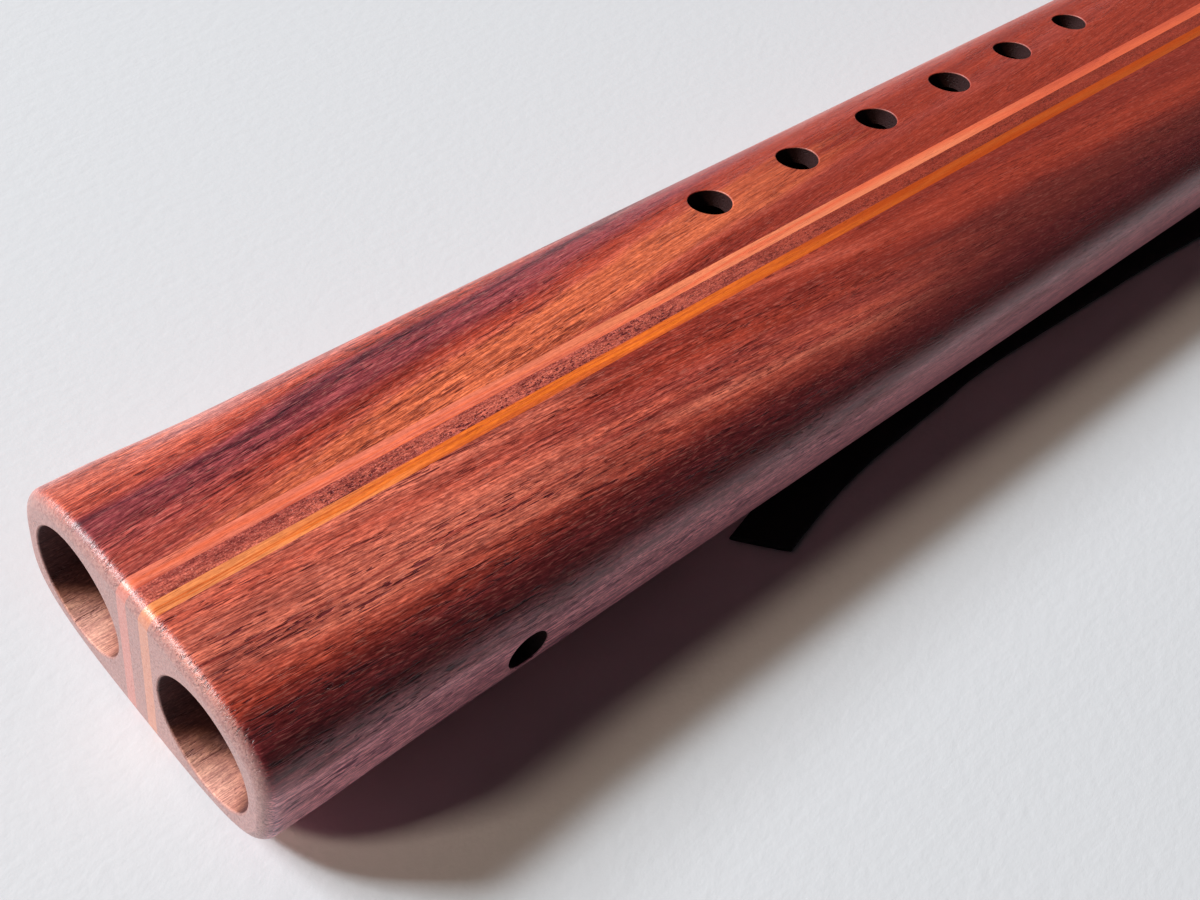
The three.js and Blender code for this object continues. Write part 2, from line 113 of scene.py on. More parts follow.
class FluteSizes(bpy.types.PropertyGroup):
    """Sizes of the flute. Their defaults are the CAD part's, but for the softened rims, which it leaves
    sharp, and the foot's rounding, which is 3.2 mm there."""

    body_width: FloatProperty(
        name="Body width", description="Across both voices", default=63.5 * MM, unit="LENGTH",
    )
    body_height: FloatProperty(
        name="Body height", description="Thickness of the body", default=31.75 * MM, unit="LENGTH",
    )
    foot_rounding: FloatProperty(
        name="Foot rounding", description="Radius round the foot's edge", default=2.5 * MM, unit="LENGTH",
    )
    core_strip: FloatProperty(
        name="Core strip", description="Width of the middle lamination", default=3.2 * MM, unit="LENGTH",
    )
    side_strip: FloatProperty(
        name="Side strips", description="Width of each bright lamination", default=2.4 * MM, unit="LENGTH",
    )
    bore: FloatProperty(
        name="Bore", description="Diameter of both bores", default=22.2 * MM, unit="LENGTH",
    )
    bore_spacing: FloatProperty(
        name="Bore spacing", description="Between the bores' middles", default=32.8 * MM, unit="LENGTH",
    )
    bore_rim: FloatProperty(
        name="Bore rim", description="Softening of the bores' mouths", default=0.4 * MM, unit="LENGTH",
    )
    finger_hole: FloatProperty(
        name="Finger hole", description="Diameter of the lowest finger hole", default=8.6 * MM, unit="LENGTH",
    )
    hole_rim: FloatProperty(
        name="Hole rim", description="Softening of the holes' edges", default=0.25 * MM, unit="LENGTH",
    )
    tuning_hole: FloatProperty(
        name="Tuning hole", description="Diameter of the drone's side hole", default=7.9 * MM, unit="LENGTH",
    )
    breath_hole: FloatProperty(
        name="Breath hole", description="Diameter at the mouth", default=6.4 * MM, unit="LENGTH",
    )
    mouthpiece: FloatProperty(
        name="Mouthpiece", description="Length of the narrowing end", default=62 * MM, unit="LENGTH",
    )
    mouth_width: FloatProperty(
        name="Mouth width", description="Width at the lips", default=47 * MM, unit="LENGTH",
    )
    mouth_height: FloatProperty(
        name="Mouth height", description="Height at the lips", default=19 * MM, unit="LENGTH",
    )
    bird_width: FloatProperty(
        name="Bird width", description="Across the bird", default=49 * MM, unit="LENGTH",
    )
    strap_width: FloatProperty(
        name="Strap width", description="Width of the flat tie", default=10.5 * MM, unit="LENGTH",
    )
    strap_thickness: FloatProperty(
        name="Strap thickness", description="Thickness of the tie", default=1.3 * MM, unit="LENGTH",
    )
    knot_strand: FloatProperty(
        name="Knot strand", description="Diameter of the bunched strap", default=3.5 * MM, unit="LENGTH",
    )


class FluteColours(bpy.types.PropertyGroup):
    """Main colours of the finishes."""

    walnut_light: FloatVectorProperty(
        name="Light walnut", description="Tan streaks", subtype="COLOR", default=linear("#D86C48"),
    )
    walnut_mid: FloatVectorProperty(
        name="Walnut", description="Ground of the planks", subtype="COLOR", default=linear("#A63F2E"),
    )
    walnut_dark: FloatVectorProperty(
        name="Dark walnut", description="Purple-brown bands", subtype="COLOR", default=linear("#924044"),
    )
    redheart: FloatVectorProperty(
        name="Redheart", description="Coral strip", subtype="COLOR", default=linear("#FA7650"),
    )
    padauk: FloatVectorProperty(
        name="Padauk", description="Orange strip", subtype="COLOR", default=linear("#FF7E2A"),
    )
    suede: FloatVectorProperty(
        name="Suede", description="Leather tie", subtype="COLOR", default=linear("#141315"),
    )
    floor: FloatVectorProperty(
        name="Floor", description="Table under the flute", subtype="COLOR", default=linear("#E3E4E8"),
    )


def layout(sizes):
    """Places that follow from the sizes, as in the CAD part."""
    foot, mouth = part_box("melody_plank_lower")[0].x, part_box("melody_plank_lower")[1].x
    edge = foot + SOUND_CHAMBER
    plug = edge + WINDOW
    slow = plug + FLUE
    slow_end = slow + SLOW_CHAMBER
    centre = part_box("melody_plank_lower")[1].z
    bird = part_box("bird_block")
    strap_pitch = sizes.strap_width + 0.6 * MM
    overshoot = 2.5 * MM
    saddle = overshoot + CLIMB_TURNS[1] * strap_pitch + sizes.strap_width + 2 * MM
    saddle_start = bird[0].x + 17 * MM
    return SimpleNamespace(
        foot=foot, mouth=mouth, edge=edge, plug=plug, slow=slow, slow_end=slow_end, centre=centre,
        bore_y=sizes.bore_spacing / 2, nest_z=bird[0].z, nest_front=edge - 1.9 * MM,
        nest_rear=bird[1].x + 3.5 * MM, top=centre + sizes.body_height / 2 + 2 * MM,
        bird_front=bird[0].x, bird_rear=bird[1].x, saddle_start=saddle_start,
        saddle_end=saddle_start + saddle, pitch=strap_pitch, overshoot=overshoot,
        tie_start=saddle_start + MM + overshoot + sizes.strap_width / 2,
        flue_half=4.25 * MM, overrun=2 * MM, seat=0.25 * MM,
    )


def smoothstep(value, start, end):
    """0 before start, 1 after end, and 3t^2 - 2t^3 of the share between."""
    share = np.clip((value - start) / (end - start), 0, 1)
    return share * share * (3 - 2 * share)


def superellipse(angle, width, height, power=2 / 3):
    """Rounded section: across is the signed power of the cosine times half the width, up the same of the
    sine."""
    c, s = np.cos(angle), np.sin(angle)
    return np.sign(c) * np.abs(c) ** power * width / 2, np.sign(s) * np.abs(s) ** power * height / 2


def add_object(name, mesh):
    """An object with this mesh, lamp or camera, in the scene."""
    made = bpy.data.objects.new(name, mesh)
    bpy.context.scene.collection.objects.link(made)
    return made


def shell(name, grid, inner_rows=(), kind=1):
    """Closed skin through a grid of rings: each ring joins the next side by side, and a flat face closes
    each end. The face order is turned over where the enclosed volume, a sixth of the sum of the corners'
    triple products, is negative. Faces of the rows in inner_rows take the material of that kind's
    number."""
    rings, sides = grid.shape[:2]
    points = grid.reshape(-1, 3)
    index = np.arange(rings * sides).reshape(rings, sides)
    low, high = index[:-1], index[1:]
    quads = np.stack([low, np.roll(low, -1, 1), np.roll(high, -1, 1), high], -1).reshape(-1, 4)
    caps = [index[0][::-1], index[-1]]
    fans = [np.stack([np.full(sides - 2, cap[0]), cap[1:-1], cap[2:]], -1) for cap in caps]
    corners = points[np.concatenate([quads[:, :3], quads[:, [0, 2, 3]], *fans])]
    if np.einsum("ij,ij->", corners[:, 0], np.cross(corners[:, 1], corners[:, 2])) < 0:
        quads, caps = quads[:, ::-1], [cap[::-1] for cap in caps]
    mesh = bpy.data.meshes.new(name)
    mesh.from_pydata(points, [], quads.tolist() + [cap.tolist() for cap in caps])
    for _ in range(3):
        mesh.materials.append(None)
    kinds = np.zeros(len(mesh.polygons), np.int32)
    for row in inner_rows:
        kinds[row * sides : (row + 1) * sides] = kind
    mesh.polygons.foreach_set("material_index", kinds)
    mesh.shade_smooth()
    return add_object(name, mesh)


def prism(name, outline, low_y, high_y):
    """An outline in X and Z carried straight from one Y to another."""
    ring = np.array([(x, 0, z) for x, z in outline])
    return shell(name, np.stack([ring + (0, y, 0) for y in (low_y, high_y)]))


def block(name, low, high):
    """A box, as the prism of its X and Z sides."""
    outline = ((low[0], low[2]), (high[0], low[2]), (high[0], high[2]), (low[0], high[2]))
    return prism(name, outline, low[1], high[1])


def rimmed_hole(name, centre, radius, rim, inner, skin, place, sides=96, kind=1, rim_rows=0):
    """Cutter for a round hole with a softened rim, in axes u, v across it and w outwards. Its wall runs
    from w = inner to one rim under the skin. The rim is a quarter circle: at turn a it lies rim (1 - cos a)
    outside the wall and rim (1 - sin a) under the skin. Short of 90 degrees it goes on straight, past the
    skin."""
    last_turn = math.radians(76)
    turn = np.linspace(0, last_turn, 8)
    spread = np.concatenate([[0], rim * (1 - np.cos(turn))])
    rise = np.concatenate([[0], -rim * (1 - np.sin(turn))])
    reach = 2 * rim
    spread = np.concatenate([spread, [spread[-1] + reach * math.sin(last_turn)] * 2])
    rise = np.concatenate([rise, rise[-1] + reach * math.cos(last_turn) + np.array([0, 2 * MM])])
    angle = np.linspace(0, 2 * np.pi, sides, endpoint=False)
    u = centre[0] + (radius + spread)[:, None] * np.cos(angle)
    v = centre[1] + (radius + spread)[:, None] * np.sin(angle)
    w = skin(u, v) + rise[:, None]
    w[0] = inner
    return shell(name, np.stack(place(u, v, w), -1), inner_rows=range(1 + rim_rows), kind=kind)


def settle(obj):
    """The mesh as its modifiers leave it takes the place of the object's own."""
    bpy.context.view_layer.update()
    graph = bpy.context.evaluated_depsgraph_get()
    finished = obj.evaluated_get(graph)
    mesh = bpy.data.meshes.new_from_object(finished, preserve_all_data_layers=True, depsgraph=graph)
    obj.modifiers.clear()
    obj.data = mesh
    return obj


def combine(obj, others, operation):
    """Cuts the others from the object, or keeps what it shares with them, and removes them."""
    for other in others:
        boolean = obj.modifiers.new(other.name, "BOOLEAN")
        boolean.operation, boolean.solver, boolean.object = operation, "MANIFOLD", other
        boolean.material_mode = "INDEX"
    settle(obj)
    for other in others:
        bpy.data.objects.remove(other)
    return obj


def shade(obj, sharp_degrees=32):
    """Smooth shading with sharp edges past an angle, and normals that follow the larger faces."""
    obj.data.shade_smooth()
    obj.data.set_sharp_from_angle(angle=math.radians(sharp_degrees))
    weighted = obj.modifiers.new("even_normals", "WEIGHTED_NORMAL")
    weighted.keep_sharp, weighted.weight, weighted.mode = True, 80, "FACE_AREA"
    return settle(obj)


def dress(obj, *materials):
    """Gives the piece its materials in the order of its faces' numbers. Clearing the list would lose the
    numbers."""
    own = obj.data.materials
    for number, material in enumerate(materials):
        own[number] = material
    while len(own) > len(materials):
        own.pop()
    return obj


def add_node(tree, kind, inputs=None, **settings):
    """Adds a node with its settings. An input that is given a socket is linked to it, one that is given a
    node is linked to that node's first output in use, and any other is set."""
    made = tree.nodes.new(kind)
    for key, value in settings.items():
        setattr(made, key, value)
    for key, value in (inputs or {}).items():
        if isinstance(value, bpy.types.Node):
            value = next(output for output in value.outputs if output.enabled)
        if isinstance(value, bpy.types.NodeSocket):
            tree.links.new(value, made.inputs[key])
        else:
            made.inputs[key].default_value = value
    return made


def new_material(name):
    """An empty material with this name."""
    made = bpy.data.materials.new(name)
    made.use_nodes = True
    made.node_tree.nodes.clear()
    return made


def streaks(tree, point, lengths, detail=2.0, roughness=0.55):
    """Noise whose features have these lengths along X, Y and Z, in millimetres."""
    scale = [1 / (length * MM) for length in lengths]
    scaled = add_node(tree, "ShaderNodeMapping", {"Vector": point, "Scale": scale})
    noise = {"Vector": scaled, "Scale": 1.0, "Detail": detail, "Roughness": roughness}
    return add_node(tree, "ShaderNodeTexNoise", noise)


def darker(tree, colour, share, depth):
    """The colour with its red, green and blue times 1 - share x depth: depth has one value for each of
    them, so that what darkens wood also makes it more purple."""
    kept = [1 - value for value in depth]
    return add_node(tree, "ShaderNodeMix", {0: share, 6: colour, 7: (*kept, 1)}, **COLOURS_TIMES)


def toned(tree, colour, share, noise, low, high):
    """The colour times a tone that runs from low to high with the noise, for that share. The tones lie
    either side of one, so that the colour keeps its mean."""
    level = add_node(tree, "ShaderNodeMapRange", {0: noise, 1: 0.38, 2: 0.62})
    tone = add_node(tree, "ShaderNodeMix", {0: level, 6: (*low, 1), 7: (*high, 1)}, **COLOURS_MIXED)
    return add_node(tree, "ShaderNodeMix", {0: share, 6: colour, 7: tone}, **COLOURS_TIMES)


def across(tree, point, slope, bend):
    """The distance dot(point - top of the foot's middle, slope) + bend."""
    moved = add_node(tree, "ShaderNodeVectorMath", {0: point, 1: FOOT_TOP}, operation="SUBTRACT")
    along = add_node(tree, "ShaderNodeVectorMath", {0: moved, 1: slope}, operation="DOT_PRODUCT")
    return add_node(tree, "ShaderNodeMath", {0: along, 1: bend}, operation="ADD")


def banded(tree, where, stops, scale=MM):
    """Colour ramp by a value: stops are pairs of a value, in millimetres where it is a distance, and a
    linear colour, whose fourth value, where it has one, is how much the band covers what lies under it."""
    low, high = stops[0][0], stops[-1][0]
    share = add_node(tree, "ShaderNodeMapRange", {0: where, 1: low * scale, 2: high * scale})
    ramp = add_node(tree, "ShaderNodeValToRGB", {"Fac": share})
    elements = ramp.color_ramp.elements
    while len(elements) > 1:
        elements.remove(elements[-1])
    for number, (distance, colour) in enumerate(stops):
        place = (distance - low) / (high - low)
        element = elements[0] if number == 0 else elements.new(place)
        element.position, element.color = place, (*colour, 1)[:4]
    return ramp


def wavering(tree, point, lengths, low, high, reach):
    """Distance from -reach to reach millimetres that follows noise between low and high."""
    noise = streaks(tree, point, lengths, detail=3)
    return add_node(tree, "ShaderNodeMapRange", {0: noise, 1: low, 2: high, 3: -reach * MM, 4: reach * MM})


def figured(tree, point, slant, figure):
    """The wood's colour before its fibres. Each part of the figure is a place along X in millimetres where
    it takes over, a slope and bands across it. The bands wander by long noise, and one part passes into the
    next raggedly, along the grain."""
    bend = wavering(tree, point, (60, 7, 7), 0.2, 0.8, 2)
    ragged = streaks(tree, slant, (34, 1.7, 1.7), detail=2)
    ragged = add_node(tree, "ShaderNodeMapRange", {0: ragged, 1: 0.3, 2: 0.7, 3: -14 * MM, 4: 14 * MM})
    along = add_node(tree, "ShaderNodeSeparateXYZ", {0: point}).outputs["X"]
    along = add_node(tree, "ShaderNodeMath", {0: along, 1: ragged}, operation="ADD")
    colour = None
    for (start, end), slope, stops in figure:
        bands = banded(tree, across(tree, point, slope, bend), stops)
        if colour is None:
            colour = bands
            continue
        share = add_node(tree, "ShaderNodeMapRange", {0: along, 1: start * MM, 2: end * MM})
        colour = add_node(tree, "ShaderNodeMix", {0: share, 6: colour, 7: bands}, **COLOURS_MIXED)
    return colour


def wood(name, figure, finish):
    """Oiled wood as a solid pattern: bands of colour, and over them dark and light fibres along the grain,
    fine pale specks added to the colour, which are painted glints, and open pores, which are dark dashes of
    2 to 5 mm sunk in the surface. Faces along X show end grain, finely speckled and paler: partly its own
    tone, partly painted light on the lit foot face."""
    material = new_material(name)
    tree = material.node_tree
    coordinates = add_node(tree, "ShaderNodeTexCoord")
    point = coordinates.outputs["Object"]
    turn = {"Vector": point, "Rotation": (0, 0, math.radians(finish.turn))}
    slant = add_node(tree, "ShaderNodeMapping", turn)
    colour = figured(tree, point, slant, figure)
    # An edge band over the figure: on the planks, painted shade and painted sheen along the shoulders and
    # flank
    if finish.edge:
        slope, stops = finish.edge
        bend = wavering(tree, slant, (22, 2.4, 2.4), 0.3, 0.7, 1.3)
        bands = banded(tree, across(tree, point, slope, bend), stops)
        cover = {0: bands.outputs["Alpha"], 6: colour, 7: bands}
        colour = add_node(tree, "ShaderNodeMix", cover, **COLOURS_MIXED)

    # Fibres: boards' long streaks, threads and grain, weaker far from the foot, as in the photograph
    place = add_node(tree, "ShaderNodeSeparateXYZ", {0: point}).outputs
    fading = {0: place["X"], 1: -200 * MM, 2: -120 * MM, 3: 1, 4: finish.far_share}
    near = add_node(tree, "ShaderNodeMapRange", fading)
    share = add_node(tree, "ShaderNodeMath", {0: near, 1: finish.fibre}, operation="MULTIPLY")
    long = finish.length
    board = streaks(tree, slant, (42 * long, 1.5, 1.5), detail=2)
    colour = toned(tree, colour, share, board, (0.78, 0.7, 0.74), (1.26, 1.3, 1.26))
    thread = streaks(tree, slant, (7 * long, 0.28, 0.28), detail=3, roughness=0.68)
    colour = toned(tree, colour, share, thread, (0.56, 0.48, 0.54), (1.42, 1.44, 1.4))
    grain = streaks(tree, slant, (1.3 * long, 0.3, 0.3), detail=2, roughness=0.7)
    colour = toned(tree, colour, share, grain, (0.7, 0.64, 0.68), (1.26, 1.3, 1.28))
    # Painted glints: pale specks added to the colour
    painted_glint = streaks(tree, slant, (2.2 * long, 0.26, 0.26), detail=1)
    painted_glint = add_node(tree, "ShaderNodeMapRange", {0: painted_glint, 1: 0.58, 2: 0.66, 4: finish.flecks})
    painted_glint = add_node(tree, "ShaderNodeMath", {0: painted_glint, 1: near}, operation="MULTIPLY")
    pale = (*linear("#7E564B"), 1)
    colour = add_node(tree, "ShaderNodeMix", {0: painted_glint, 6: colour, 7: pale}, **COLOURS_PLUS)

    # Pores, long and short, which gather in some places
    dashes = []
    for lengths, low, high in (((6 * long, 0.4, 0.5), 0.6, 0.66), ((3 * long, 0.36, 0.6), 0.62, 0.68)):
        dash = streaks(tree, slant, lengths, detail=1)
        dashes.append(add_node(tree, "ShaderNodeMapRange", {0: dash, 1: low, 2: high}))
    pore = add_node(tree, "ShaderNodeMath", {0: dashes[0], 1: dashes[1]}, operation="MAXIMUM")
    gather = streaks(tree, slant, (30, 3.2, 3.2), detail=2)
    gather = add_node(tree, "ShaderNodeMapRange", {0: gather, 1: 0.4, 2: 0.6, 3: 0.1})
    for weaker in (gather, near):
        pore = add_node(tree, "ShaderNodeMath", {0: pore, 1: weaker}, operation="MULTIPLY")
    share = add_node(tree, "ShaderNodeMath", {0: pore, 1: finish.pores}, operation="MULTIPLY")
    colour = darker(tree, colour, share, (0.72, 0.82, 0.7))

    # End grain where a face looks along X, most of it at the foot; its paleness is partly painted light on
    # the lit foot face
    facing = {0: coordinates.outputs["Normal"]}
    facing = add_node(tree, "ShaderNodeVectorMath", facing, operation="ABSOLUTE")
    facing = add_node(tree, "ShaderNodeSeparateXYZ", {0: facing}).outputs
    cut = add_node(tree, "ShaderNodeMapRange", {0: facing["X"], 1: 0.35, 2: 0.85, 4: finish.end_share})
    foot = add_node(tree, "ShaderNodeMapRange", {0: place["X"], 1: -275 * MM, 2: -265 * MM, 3: 1, 4: 0.45})
    cut = add_node(tree, "ShaderNodeMath", {0: cut, 1: foot}, operation="MULTIPLY")
    speckle = streaks(tree, point, (0.5, 0.5, 0.5), detail=3, roughness=0.7)
    end = banded(tree, speckle, [(value, linear(tone)) for value, tone in finish.end], scale=1)
    colour = add_node(tree, "ShaderNodeMix", {0: cut, 6: colour, 7: end}, **COLOURS_MIXED)
    if finish.seam:
        off = add_node(tree, "ShaderNodeMath", {0: place["Z"], 1: finish.seam}, operation="SUBTRACT")
        off = add_node(tree, "ShaderNodeMath", {0: off}, operation="ABSOLUTE")
        seam = add_node(tree, "ShaderNodeMapRange", {0: off, 1: 0.06 * MM, 2: 0.3 * MM, 3: 0.75, 4: 0})
        colour = darker(tree, colour, seam, (0.55, 0.6, 0.55))

    # Threads stand up a little and pores lie deeper
    raised = add_node(tree, "ShaderNodeMath", {0: thread, 1: near}, operation="MULTIPLY")
    height = add_node(tree, "ShaderNodeMath", {0: pore, 1: -1.2, 2: raised}, operation="MULTIPLY_ADD")
    bump = {"Height": height, "Strength": 0.7, "Distance": finish.relief * MM}
    normal = add_node(tree, "ShaderNodeBump", bump)

    # Rubbed shine on the foot's rounding and on the flanks
    rounded = add_node(tree, "ShaderNodeMapRange", {0: facing["X"], 1: 0.15, 2: 0.45})
    rim = add_node(tree, "ShaderNodeMapRange", {0: place["X"], 1: -277.5 * MM, 2: -279.5 * MM})
    rounded = add_node(tree, "ShaderNodeMath", {0: rounded, 1: rim}, operation="MULTIPLY")
    sides = add_node(tree, "ShaderNodeMapRange", {0: facing["Y"], 1: 0.8, 2: 0.98})
    shiny = add_node(tree, "ShaderNodeMath", {0: rounded, 1: sides}, operation="MAXIMUM")
    low, high = finish.roughness - 0.05, finish.roughness + 0.05
    shine = {
        "Base Color": colour,
        "Roughness": add_node(tree, "ShaderNodeMapRange", {0: thread, 1: 0.4, 2: 0.6, 3: low, 4: high}),
        "Coat Weight": add_node(tree, "ShaderNodeMath", {0: shiny, 1: finish.polish}, operation="MULTIPLY"),
        "Coat Roughness": 0.27,
        "Specular IOR Level": 0.4,
        "Sheen Weight": finish.sheen,
        "Sheen Roughness": 0.4,
        "Normal": normal,
        "Coat Normal": normal,
    }
    shader = add_node(tree, "ShaderNodeBsdfPrincipled", shine)
    add_node(tree, "ShaderNodeOutputMaterial", {"Surface": shader})
    return material


def oiled(**changes):
    """A wood's finish: degrees that its grain is turned by, how long its fibres are beside walnut's,
    strength of fibres, painted glints and pores, their share far from the foot, a pale or dark edge, which on
    the planks is painted sheen and painted shade, the end grain's tones, a glued seam's height, the relief in
    millimetres, and the shine. The share is not the wood's own: it follows the photograph, whose far part is
    out of focus. Rounded ends are rubbed smoother than the rest."""
    usual = dict(
        turn=0.0, length=1.0, fibre=0.9, flecks=0.7, pores=0.85, far_share=0.4, edge=None, seam=None,
        end_share=0.92, end=((0.3, "#8E6664"), (0.5, "#AE8480"), (0.7, "#C0958C")), relief=0.12,
        roughness=0.36, polish=0.4, sheen=0.03,
    )
    return SimpleNamespace(**{**usual, **changes})


def suede_material(colours):
    """Black suede: split leather with its fibres brushed up. Its nap scatters light, so it has no highlight
    and a faint pale sheen at its edges. The nap is about 0.3 mm long."""
    material = new_material("black_suede_leather")
    tree = material.node_tree
    point = add_node(tree, "ShaderNodeTexCoord").outputs["Object"]
    nap = streaks(tree, point, (0.35, 0.35, 0.35), detail=3)
    patches = streaks(tree, point, (9, 9, 9), detail=2)
    patches = add_node(tree, "ShaderNodeMapRange", {0: patches, 1: 0.35, 2: 0.65})
    dark = tuple(c * 0.55 for c in colours.suede)
    tones = {0: patches, 6: (*dark, 1), 7: (*colours.suede, 1)}
    finish = {
        "Base Color": add_node(tree, "ShaderNodeMix", tones, **COLOURS_MIXED),
        "Roughness": 0.92,
        "Sheen Weight": 0.12,
        "Sheen Roughness": 0.5,
        "Specular IOR Level": 0.25,
        "Normal": add_node(tree, "ShaderNodeBump", {"Height": nap, "Strength": 0.7, "Distance": 0.12 * MM}),
    }
    shader = add_node(tree, "ShaderNodeBsdfPrincipled", finish)
    add_node(tree, "ShaderNodeOutputMaterial", {"Surface": shader})
    return material


def floor_material(colours):
    """Painted board: matt, with faint pressed marks about 3 mm apart. Away from the flute it fades into the
    room."""
    material = new_material("painted_board")
    tree = material.node_tree
    point = add_node(tree, "ShaderNodeTexCoord").outputs["Object"]
    marks = streaks(tree, point, (3.5, 2.2, 2.2), detail=4, roughness=0.6)
    finish = {
        "Base Color": (*colours.floor, 1),
        "Roughness": 0.75,
        "Specular IOR Level": 0.1,
        "Normal": add_node(tree, "ShaderNodeBump", {"Height": marks, "Strength": 0.3, "Distance": 0.3 * MM}),
    }
    board = add_node(tree, "ShaderNodeBsdfPrincipled", finish)
    away = add_node(tree, "ShaderNodeVectorMath", {0: point}, operation="LENGTH")
    away = add_node(tree, "ShaderNodeMapRange", {0: away, 1: 0.5, 2: 1.1})
    nothing = add_node(tree, "ShaderNodeBsdfTransparent")
    faded = add_node(tree, "ShaderNodeMixShader", {0: away, 1: board, 2: nothing})
    add_node(tree, "ShaderNodeOutputMaterial", {"Surface": faded})
    return material


def walnuts(colours):
    """Black walnut of the planks and of the bird, planed and oiled. Steam and oil leave it red-brown with
    tan and purple-brown bands. Where it is bored it is bare and pale near the foot and low down, which is
    partly painted light, and dark further in and higher up, which is painted shade. The walls of the finger
    holes and of the tuning hole are near black; in the tuning hole, in the flank's shadow, that is painted
    shade. The bands' places and tones are given in lists, and tuned by comparing renders with the
    photograph. The pale pink and lavender along the edges stand partly for light that falls there in the
    photograph: painted sheen. The dark drone shoulder is partly painted shade."""
    tan, brick, plum = colours.walnut_light, colours.walnut_mid, colours.walnut_dark
    clay, salmon, russet = linear("#D06C56"), linear("#C65A46"), linear("#AA483C")
    umber, ink, maroon = linear("#96382C"), linear("#5A242E"), linear("#78302A")
    # Pale pink, purple-pink and lavender tones for the shoulders and the drone flank, partly painted sheen;
    # shade for the drone shoulder, partly painted shade
    painted_rose_sheen, shade, painted_dusk_sheen, painted_lilac_sheen = linear("#CE8C84"), linear("#702A2C"), linear("#A2505A"), linear("#EC9EA8")
    # The pale pink at the end of the first two lists is painted sheen on the melody shoulder, partly the
    # wood's tone
    melody = (
        (WHOLE, (-0.05, 1, 0.3), (
            (3, linear("#A04840")), (8, russet), (11, linear("#A24846")), (13.2, plum), (14.6, plum),
            (15, ink), (15.8, plum), (17.6, russet), (19, salmon), (23, clay), (26, clay), (28, painted_rose_sheen),
        )),
        ((-268, -246), (-0.1, 1, 0.3), (
            (-14, russet), (-11, russet), (-9, umber), (-6.4, umber), (-5, brick), (-3.9, salmon),
            (-2.8, tan), (3.8, tan), (5.2, salmon), (6.8, brick), (10.5, plum), (13, plum), (14.2, ink),
            (15.2, plum), (17, brick), (19, salmon), (24, painted_rose_sheen),
        )),
        ((-150, -108), (-0.05, 1, 0.3), (
            (-12, brick), (0, brick), (3, russet), (5.5, brick), (9, umber), (11, brick), (13, russet),
            (15, brick), (21, russet),
        )),
    )
    # The shade at the end of the first two lists darkens the drone shoulder: partly the wood's tone, partly
    # painted shade
    drone = (
        (WHOLE, (-0.05, -1, -0.3), (
            (3, clay), (6, salmon), (9, clay), (13.4, clay), (14, russet), (14.6, clay), (17.5, clay),
            (19, salmon), (22, brick), (25, umber), (30, shade),
        )),
        ((-232, -196), (-0.1, -1, -0.3), (
            (-14, umber), (-10, brick), (-8, salmon), (-6.6, brick), (-5, umber), (-2.4, umber), (0, brick),
            (3, russet), (4.6, russet), (6, salmon), (8, russet), (9.6, clay), (10.8, salmon), (14, umber),
            (20, shade),
        )),
        ((-150, -105), (-0.06, -1, -0.3), (
            (-10, umber), (-6, umber), (-3.5, brick), (0.5, brick), (2.5, umber), (5.5, maroon), (14, maroon),
        )),
    )
    plain = (
        (WHOLE, (0.05, 1.2, 0.8), (
            (-40, umber), (-24, brick), (-14, plum), (-4, salmon), (4, tan), (14, brick), (24, plum),
            (40, brick),
        )),
    )
    # Bores are pale where their lower side shows at the foot, which is partly painted light, and dark further
    # in and higher up, which is painted shade
    bored = (
        (WHOLE, (1, 0, 1.7), (
            (-47, linear("#F2B2A0")), (-43.5, linear("#E0A490")), (-41, linear("#C48674")),
            (-39.4, linear("#946050")), (-37.4, linear("#5C3634")), (-20, linear("#4C2A2C")),
        )),
    )
    # Near black walls of the finger holes and the tuning hole; in the tuning hole, in the flank's shadow,
    # this is painted shade
    near_black_hole_wall = ((WHOLE, (0, 1, 0), ((-20, linear("#2A1517")), (20, linear("#321A1B")))),)
    # Painted sheen: pale pink over the melody shoulder, partly the wood's own tone
    melody_edge_painted_sheen = ((0, 1, 0.8), ((22.6, (*salmon, 0)), (25.2, (*painted_rose_sheen, 0.5)), (27, (*painted_rose_sheen, 0.65))))
    # Painted shade over the drone shoulder, then painted sheen, purple-pink to lavender, down the flank,
    # partly the wood's own tone
    drone_edge_painted_shade_and_sheen = ((0, -1, -0.5), (
        (22, (*shade, 0)), (27, (*shade, 0.75)), (32.6, (*linear("#84343A"), 0.9)), (35.4, (*painted_dusk_sheen, 0.9)),
        (38.2, (*painted_lilac_sheen, 0.95)), (46, (*painted_lilac_sheen, 0.9)),
    ))
    bare = dict(roughness=0.6, sheen=0.0, polish=0.0, far_share=1.0)
    open_wood = oiled(length=0.5, fibre=0.6, flecks=0.3, pores=0.4, seam=SEAM_HEIGHT, **bare)
    hole_wall_finish = oiled(fibre=0.3, flecks=0.0, pores=0.4, end_share=0.0, **bare)
    return SimpleNamespace(
        melody=wood("black_walnut_melody_side", melody, oiled(turn=-4.5, edge=melody_edge_painted_sheen)),
        drone=wood("black_walnut_drone_side", drone, oiled(turn=3, edge=drone_edge_painted_shade_and_sheen, pores=1.0)),
        bird=wood("black_walnut_bird", plain, oiled(far_share=1.0)),
        bored=wood("black_walnut_bored_painted_light_and_shade", bored, open_wood),
        near_black_hole_wall=wood("black_walnut_hole_walls", near_black_hole_wall, hole_wall_finish),
    )


